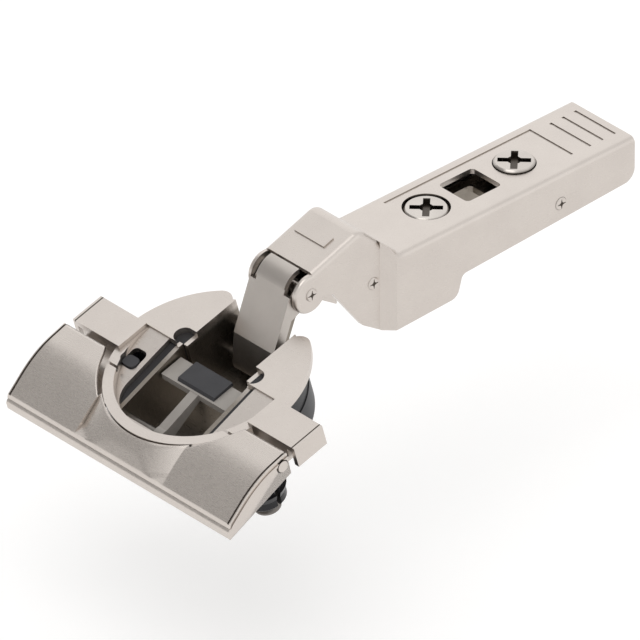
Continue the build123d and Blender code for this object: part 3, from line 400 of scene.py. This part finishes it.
def dress_nodes():
    """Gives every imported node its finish."""
    link = plated_steel("link_nickel", LINK, LINK_DARK, GRAIN_Z, LINK_ROUGHNESS).material
    pins = plated_steel("pin_steel", PIN, PIN_DARK, GRAIN_Y, PIN_ROUGHNESS).material
    finishes = {
        nickel("arm_nickel", GRAIN_X).material: ("hinge_arm", "release_lever"),
        # Painted shade: the rail and the inner link get a darker copy of the nickel, as they lie inside
        plated_steel("inner_steel_painted_shade", INSIDE_SHADE, INSIDE_SHADE_DARK, GRAIN_X).material: ("clip_rail", "inner_link"),
        cup_finish(): ("cup_shell",),
        plate_finish(): ("ear_plate",),
        cover_finish(): ("mounting_flap",),
        link: ("outer_link",),
        pins: (
            "lever_pin", "cup_pin_outer", "cup_pin_inner", "rocker_pin", "dowel_core_left", "dowel_core_right"),
        nickel("head_nickel").material: ("flap_pin_left", "flap_pin_right"),
        screw_finish("screw_steel_front", FRONT_SCREW_FACE): ("side_screw",),
        screw_finish("screw_steel_rear", REAR_SCREW_FACE): ("depth_cam",),
        plated_steel("spring_steel", SPRING, SPRING_DARK, GRAIN_Y).material: ("closing_spring", "lever_spring"),
        plastic("dark_plastic", DARK_PLASTIC, DARK_PLASTIC_LOW, HOUSING_ROUGHNESS): (
            "damper_housing_left", "damper_housing_right"),
        plastic("pad_rubber", PAD_RUBBER, PAD_RUBBER_LOW, PAD_ROUGHNESS): ("rocker_pad", "damper_switch"),
        plastic("black_plastic", BLACK_PLASTIC, BLACK_PLASTIC_LOW, DOWEL_ROUGHNESS): (
            "dowel_left", "dowel_right"),
        plastic("grey_plastic", GREY_PLASTIC, GREY_PLASTIC_LOW, ROCKER_ROUGHNESS): ("damper_rocker",),
    }
    for pin in STAKED_PINS:
        finishes[pin_finish(pin)] = (pin,)
    for material, names in finishes.items():
        for name in names:
            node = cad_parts[name]
            node.data.materials.clear()
            node.data.materials.append(material)


# Flap
def cup_place(u, y, w):
    """A place in the cup's frame, in millimetres, as a place in the model."""
    place = Vector(CUP_ORIGIN) + Vector(CUP_U) * u + Vector(CUP_W) * w
    return (place + Vector((0, y, 0))) * MM


def eased(u, back, crown, brow, reach):
    """Height of a skin of two straight runs with a parabola of a given reach each side of the crown."""
    first = (crown[1] - back[1]) / (crown[0] - back[0])
    second = (brow[1] - crown[1]) / (brow[0] - crown[0])
    offset = u - crown[0]
    if offset > reach:
        return crown[1] + first * offset
    if offset < -reach:
        return crown[1] + second * offset
    part = (reach - offset) / (2 * reach)
    return crown[1] + first * reach + part * part * reach * (first - second) - part * 2 * reach * first


def wing_height(u):
    return eased(u, FLAP_BACK, FLAP_CROWN, FLAP_BROW, WING_REACH)


def ramp_height(u, y):
    """The ramp falls away from the cup like a cone, and meets the wings' brow in front."""
    cone = RAMP_TOP - RAMP_FALL * (math.hypot(u, y) - RAMP_BORE)
    front = eased(u, RAMP_BACK, RAMP_CROWN, FLAP_BROW, RAMP_REACH)
    foot = wing_height(u) - WALL_TAPER * (u - FLAP_BROW[0])
    return max(min(cone, front), foot)


def flap_column(y, wing, sink):
    """Points of the skin in one plane across the flap, from its rear edge to its lip."""
    bore = WING_BORE if wing else RAMP_BORE
    rear = -math.sqrt(max(0.0, bore * bore - y * y))
    if wing:
        rear = min(rear, FLAP_BACK[0])
    points = []
    for step in range(PROFILE_STEPS + 1):
        u = rear + (FLAP_BROW[0] - rear) * step / PROFILE_STEPS
        height = wing_height(u) if wing else ramp_height(u, y)
        points.append(cup_place(u, y, height - sink))
    return points + [cup_place(u, y, w) for u, w in FLAP_FRONT]


def flap_columns():
    """Place along y, wing or ramp, and sink of each plane across the flap, from one end to the other."""
    end = FLAP_HALF - END_PLAY
    inner = SEAM_Y - SEAM_HALF - SEAM_WALL
    half = [
        (end, True, END_DROP), (end - END_BEVEL, True, 0.0), (SEAM_Y + SEAM_HALF + SEAM_WALL, True, 0.0),
        (SEAM_Y + SEAM_HALF, True, SEAM_DEPTH), (SEAM_Y - SEAM_HALF, True, SEAM_DEPTH), (inner, True, 0.0)]
    half += [(inner - (inner - WING_INNER) * k / WING_STEPS, True, 0.0) for k in range(1, WING_STEPS + 1)]
    half += [(WING_INNER * (1 - k / RAMP_STEPS), False, 0.0) for k in range(RAMP_STEPS)]
    return [(-y, wing, sink) for y, wing, sink in half] + [(0.0, False, 0.0)] + list(reversed(half))


def mesh_object(name, points, faces, material):
    """A mesh piece, smooth except along its sharp edges."""
    mesh = bpy.data.meshes.new(name)
    mesh.from_pydata([tuple(p) for p in points], [], faces)
    work = bmesh.new()
    work.from_mesh(mesh)
    bmesh.ops.remove_doubles(work, verts=work.verts, dist=WELD * MM)
    bmesh.ops.recalc_face_normals(work, faces=work.faces)
    for face in work.faces:
        face.smooth = True
    for edge in work.edges:
        edge.smooth = edge.calc_face_angle(0.0) < math.radians(SMOOTH_ANGLE)
    work.to_mesh(mesh)
    work.free()
    mesh.materials.append(material)
    piece = bpy.data.objects.new(name, mesh)
    scene.collection.objects.link(piece)
    return piece


def make_flap(material):
    """The flap's folded sheet. It stands for the plain solid."""
    columns = flap_columns()
    grid = [flap_column(*column) for column in columns]
    rows = len(grid[0])
    points = [p for column in grid for p in column]
    faces = []
    for c in range(len(grid) - 1):
        for r in range(rows - 1):
            a = c * rows + r
            faces.append((a, a + rows, a + rows + 1, a + 1))
    for c in (0, len(grid) - 1):
        points.append(cup_place(FLAP_FOOT[0], columns[c][0], FLAP_FOOT[1]))
        ring = [c * rows + r for r in range(rows)] + [len(points) - 1]
        faces.append(tuple(ring if c == 0 else reversed(ring)))
    piece = mesh_object("flap_cover", points, faces, material)
    thick = piece.modifiers.new("sheet", "SOLIDIFY")
    thick.thickness = SHEET * MM
    thick.offset = -1.0
    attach(piece, "flap")
    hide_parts("mounting_flap")


# Floor, light and background
def seen_rays(nodes, links):
    """1 for the rays of the camera, of mirrors and of glass."""
    path = nodes.new("ShaderNodeLightPath")
    total = path.outputs["Is Camera Ray"]
    for name in ("Is Glossy Ray", "Is Transmission Ray"):
        node = nodes.new("ShaderNodeMath")
        node.operation = "MAXIMUM"
        links.new(total, node.inputs[0])
        links.new(path.outputs[name], node.inputs[1])
        total = node.outputs["Value"]
    return total


def matt_plane(name, material_name, size, location, grey):
    """A matt plane of the stage, and its material."""
    bpy.ops.mesh.primitive_plane_add(size=size, location=location)
    plane = bpy.context.object
    plane.name = name
    material = bpy.data.materials.new(material_name)
    material.use_nodes = True
    surface = material.node_tree.nodes["Principled BSDF"]
    surface.inputs["Base Color"].default_value = (grey, grey, grey, 1)
    surface.inputs["Roughness"].default_value = MATT
    plane.data.materials.append(material)
    return plane, material


def make_card():
    """A grey card beside the object, which only its metal mirrors."""
    way = Vector(DARK_SIDE).normalized()
    card, _ = matt_plane("grey_card", "card_grey", CARD_SIZE, way * CARD_DISTANCE, CARD_GREY)
    card.rotation_mode = "QUATERNION"
    card.rotation_quaternion = way.to_track_quat("Z", "Y")
    card.visible_camera = card.visible_diffuse = card.visible_shadow = False
    card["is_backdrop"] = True


def make_floor():
    """A white floor that keeps the object's shadow."""
    place = (0, 0, cad_low[2] - FLOOR_DROP)
    floor, material = matt_plane("floor", "floor_white", FLOOR_SIZE, place, FLOOR_WHITE)
    nodes, links = material.node_tree.nodes, material.node_tree.links
    surface = nodes["Principled BSDF"]
    glow = nodes.new("ShaderNodeEmission")
    glow.inputs["Strength"].default_value = FLOOR_GLOW
    both = nodes.new("ShaderNodeAddShader")
    mix = nodes.new("ShaderNodeMixShader")
    links.new(seen_rays(nodes, links), mix.inputs["Fac"])
    links.new(surface.outputs["BSDF"], mix.inputs[1])
    links.new(surface.outputs["BSDF"], both.inputs[0])
    links.new(glow.outputs["Emission"], both.inputs[1])
    links.new(both.outputs["Shader"], mix.inputs[2])
    links.new(mix.outputs["Shader"], nodes["Material Output"].inputs["Surface"])
    floor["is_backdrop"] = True


def make_world():
    """A pale studio, white where the camera and mirrors see it."""
    world = bpy.data.worlds.new("studio")
    world.use_nodes = True
    nodes, links = world.node_tree.nodes, world.node_tree.links
    around = nodes["Background"]
    around.inputs["Color"].default_value = (*STUDIO_COLOUR, 1)
    around.inputs["Strength"].default_value = STUDIO_STRENGTH
    white = nodes.new("ShaderNodeBackground")
    white.inputs["Color"].default_value = (1, 1, 1, 1)
    white.inputs["Strength"].default_value = 1.0
    mix = nodes.new("ShaderNodeMixShader")
    links.new(seen_rays(nodes, links), mix.inputs["Fac"])
    links.new(around.outputs["Background"], mix.inputs[1])
    links.new(white.outputs["Background"], mix.inputs[2])
    links.new(mix.outputs["Shader"], nodes["World Output"].inputs["Surface"])
    scene.world = world


def make_lamp(name, direction, distance, size, power):
    """A square area light that faces the object's middle."""
    data = bpy.data.lights.new(name, "AREA")
    data.size = size
    data.energy = power
    lamp = bpy.data.objects.new(name, data)
    way = Vector(direction).normalized()
    lamp.location = way * distance
    lamp.rotation_mode = "QUATERNION"
    lamp.rotation_quaternion = way.to_track_quat("Z", "Y")
    scene.collection.objects.link(lamp)


make_camera()
make_world()
make_floor()
make_card()
for lamp in LAMPS:
    make_lamp(*lamp)
dress_nodes()
make_flap(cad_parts["mounting_flap"].data.materials[0])
scene.view_settings.view_transform = "Standard"
